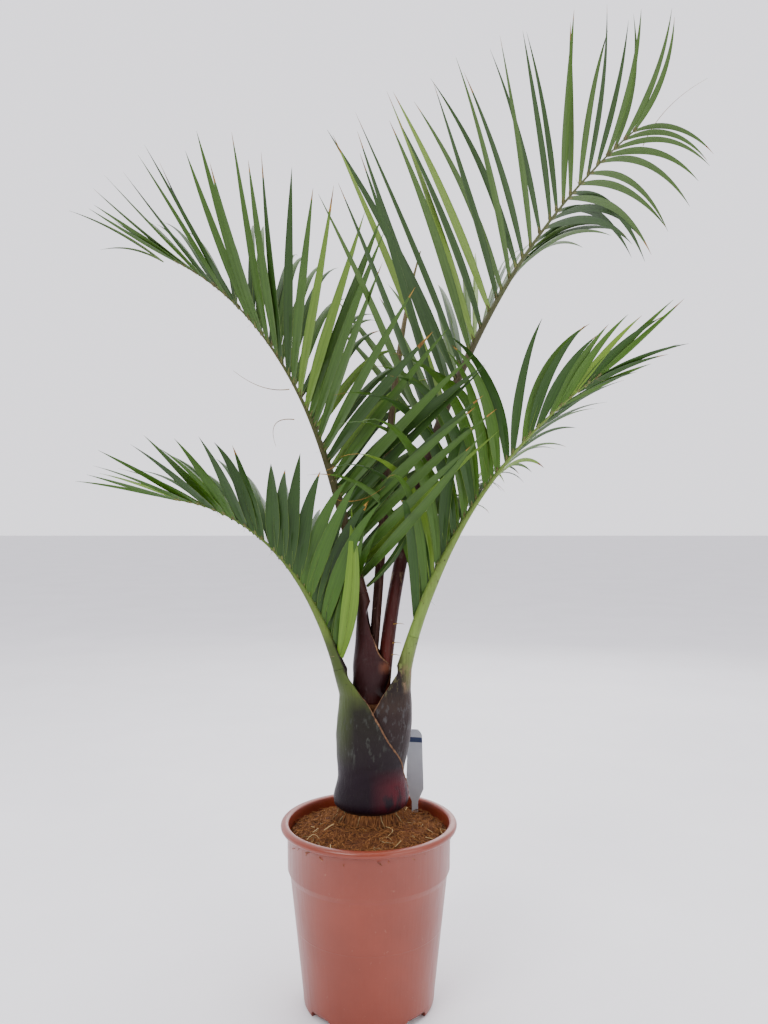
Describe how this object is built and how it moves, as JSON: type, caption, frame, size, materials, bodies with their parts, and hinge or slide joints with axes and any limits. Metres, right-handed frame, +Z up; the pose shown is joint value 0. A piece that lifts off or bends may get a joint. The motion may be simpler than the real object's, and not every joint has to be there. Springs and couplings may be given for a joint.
{
  "type": "potted triangle palm",
  "caption": "Young feather palm with clasping leaf sheaths, arching fronds and an unopened spear leaf, growing in a round nursery pot that stands on its flat underside.",
  "frame": {"origin": "centre of the pot's flat underside, on the plane that it stands on", "axes": "+Z up; +X towards the side that the tallest frond arches to; -Y towards the side with the diagonal sheath margin"},
  "size_m": [0.826, 0.4756, 1.2658],
  "materials": {
    "pot": "satin",
    "potting_mix": "matte",
    "trunk": "matte",
    "sheath_left": "satin",
    "sheath_right": "satin",
    "sheath_inner": "satin",
    "stalk_upper_right": "satin",
    "spear_leaf": "satin",
    "frond_lower_left": "satin",
    "frond_lower_right": "satin",
    "frond_upper_left": "satin",
    "frond_upper_right": "satin",
    "plant_label": "satin"
  },
  "bodies": {
    "root": {"pot": "pot", "potting_mix": "potting_mix", "trunk": "trunk", "stalk_lower_left": "sheath_left", "stalk_lower_right": "sheath_right", "stalk_upper_left": "sheath_inner", "stalk_upper_right": "stalk_upper_right", "spear_leaf": "spear_leaf", "frond_lower_left": "frond_lower_left", "frond_lower_right": "frond_lower_right", "frond_upper_left": "frond_upper_left", "frond_upper_right": "frond_upper_right", "plant_label": "plant_label"}
  },
  "joints": []
}
